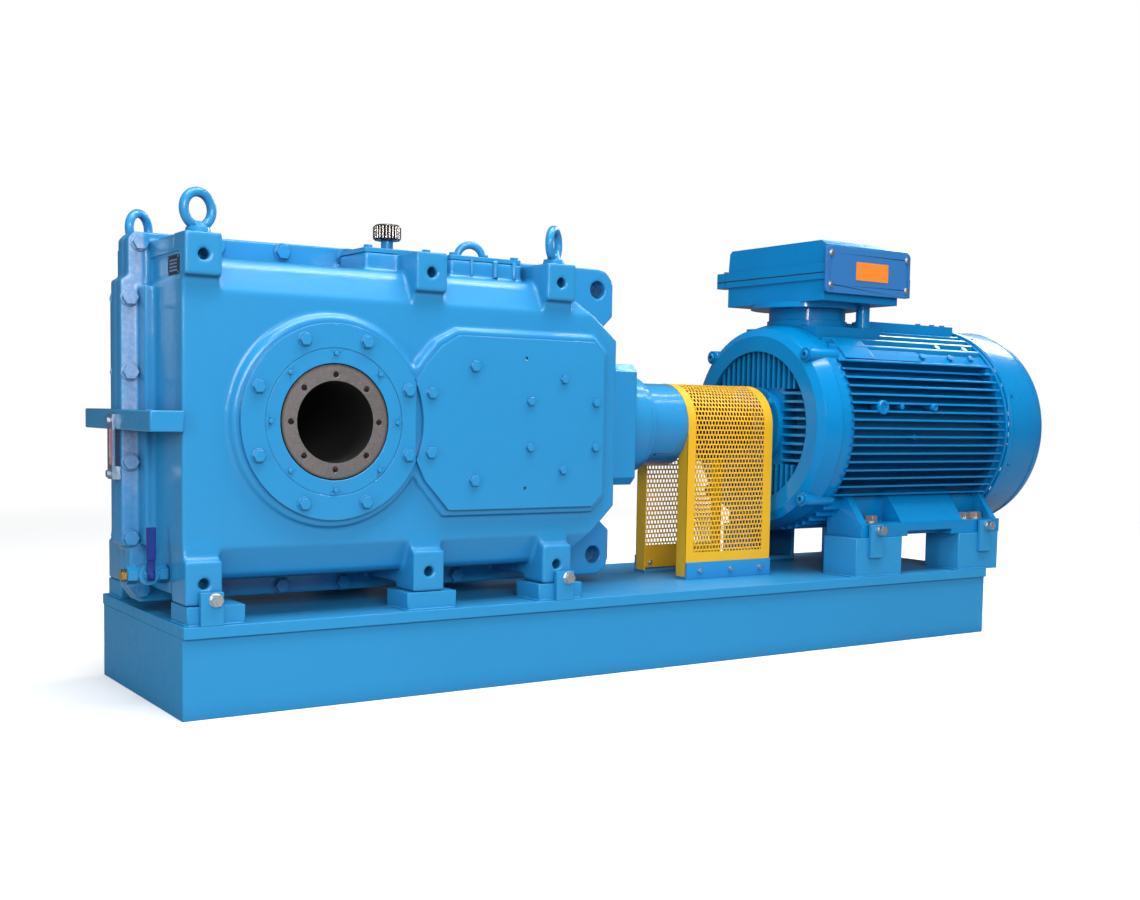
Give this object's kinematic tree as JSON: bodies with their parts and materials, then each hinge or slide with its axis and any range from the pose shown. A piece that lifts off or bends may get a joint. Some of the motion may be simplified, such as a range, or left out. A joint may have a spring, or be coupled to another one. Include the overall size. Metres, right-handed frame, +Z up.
{
  "type": "industrial gearbox",
  "caption": "Hollow-shaft bevel-helical industrial gearbox on a steel base, driven by a foot-mounted finned motor through a guarded flexible coupling.",
  "frame": {"origin": "centre of the base underside", "axes": "+X from the gearbox towards the motor, -Y towards the output face seen from the front, +Z up"},
  "size_m": [2.834, 0.644, 1.15],
  "materials": {
    "blue_paint": "sprayed enamel over cast iron, semi-gloss",
    "base_paint": "sprayed enamel on welded steel plate, semi-gloss",
    "motor_paint": "sprayed enamel over finned cast iron, semi-gloss",
    "slate_paint": "smooth enamel on flat steel plate",
    "yellow_paint": "powder coat on sheet and expanded mesh",
    "bright_steel": "turned steel with light rust tint",
    "gear_steel": "ground hardened steel with an oil film",
    "zinc_steel": "bright zinc plating",
    "chrome_cap": "plated ribbed cap",
    "copper_zinc": "yellow passivated fastener",
    "winding": "varnished copper winding and laminated core",
    "hub_iron": "oiled black cast iron",
    "black_rubber": "matt nitrile rubber",
    "fan_plastic": "moulded polymer",
    "brass_plug": "machined brass",
    "navy_grip": "dipped vinyl sleeve",
    "gauge_glass": "clear tube with tinted oil",
    "dark_plate": "dark anodised blank plate"
  },
  "bodies": {
    "frame": {"base_frame": "base_paint", "base_top_plate": "base_paint", "gearbox_pads": "base_paint", "motor_pedestals": "base_paint", "jack_brackets": "base_paint", "jack_screws": "zinc_steel", "gearbox_hold_down_bolts": "zinc_steel", "motor_foot_bolts": "copper_zinc", "casing_front": "blue_paint", "casing_rear": "blue_paint", "flange_bolts": "blue_paint", "torque_bar": "blue_paint", "output_covers": "blue_paint", "side_covers": "blue_paint", "cover_bolts": "blue_paint", "seal_covers": "blue_paint", "seal_screws": "blue_paint", "output_bearings": "gear_steel", "output_seals": "black_rubber", "shaft_2_bearings": "gear_steel", "shaft_1_bearings": "gear_steel", "input_bearings": "gear_steel", "input_housing": "blue_paint", "input_seal": "black_rubber", "guard": "yellow_paint", "guard_brackets": "base_paint", "guard_screws": "zinc_steel", "top_covers": "blue_paint", "top_cover_bolts": "blue_paint", "breather_neck": "blue_paint", "eyebolts": "blue_paint", "oil_gauge_frame": "zinc_steel", "oil_gauge_glass": "gauge_glass", "drain_valve": "blue_paint", "drain_plug": "brass_plug", "nameplate": "dark_plate", "motor_frame": "motor_paint", "motor_shield_drive_end": "motor_paint", "motor_shield_fan_end": "motor_paint", "fan_cowl": "motor_paint", "motor_stator": "winding", "motor_bearings": "gear_steel", "terminal_box": "motor_paint", "terminal_lid": "motor_paint", "terminal_end_plate": "slate_paint", "terminal_screws": "zinc_steel"},
    "output_line": {"output_shaft": "bright_steel", "output_wheel": "gear_steel"},
    "shaft_2": {"pinion_shaft_2": "gear_steel", "wheel_2": "gear_steel"},
    "shaft_1": {"pinion_shaft_1": "gear_steel", "bevel_wheel": "gear_steel"},
    "input_line": {"input_shaft": "gear_steel", "coupling_hub_gearbox": "hub_iron", "coupling_element": "black_rubber"},
    "motor_line": {"motor_rotor": "gear_steel", "motor_fan": "fan_plastic", "coupling_hub_motor": "hub_iron"},
    "valve_lever": {"drain_lever": "navy_grip"},
    "cap": {"breather_cap": "chrome_cap"}
  },
  "joints": [
    {"name": "output_spin", "type": "hinge", "parent": "frame", "child": "output_line", "pos_m": [-0.905, 0, 0.6205], "axis": [0, 1, 0], "continuous": true},
    {"name": "shaft_2_spin", "type": "hinge", "parent": "frame", "child": "shaft_2", "pos_m": [-0.557, 0, 0.6205], "axis": [0, 1, 0], "continuous": true},
    {"name": "shaft_1_spin", "type": "hinge", "parent": "frame", "child": "shaft_1", "pos_m": [-0.312, 0, 0.6205], "axis": [0, 1, 0], "continuous": true},
    {"name": "input_spin", "type": "hinge", "parent": "frame", "child": "input_line", "pos_m": [0.055, 0, 0.6205], "axis": [1, 0, 0], "continuous": true},
    {"name": "motor_spin", "type": "hinge", "parent": "frame", "child": "motor_line", "pos_m": [0.955, 0, 0.6205], "axis": [1, 0, 0], "continuous": true},
    {"name": "drain_lever_turn", "type": "hinge", "parent": "frame", "child": "valve_lever", "pos_m": [-1.279, -0.19, 0.294], "axis": [0, 1, 0], "range_deg": [-90, 0]},
    {"name": "breather_cap_lift", "type": "slide", "parent": "frame", "child": "cap", "axis": [0, 0, 1], "range_m": [0, 0.06]}
  ],
  "couplings": [
    {"joint": "shaft_2_spin", "follows": "output_spin", "ratio": -3.35},
    {"joint": "shaft_1_spin", "follows": "output_spin", "ratio": 11.573},
    {"joint": "input_spin", "follows": "output_spin", "ratio": -34.718},
    {"joint": "motor_spin", "follows": "output_spin", "ratio": -34.718}
  ]
}
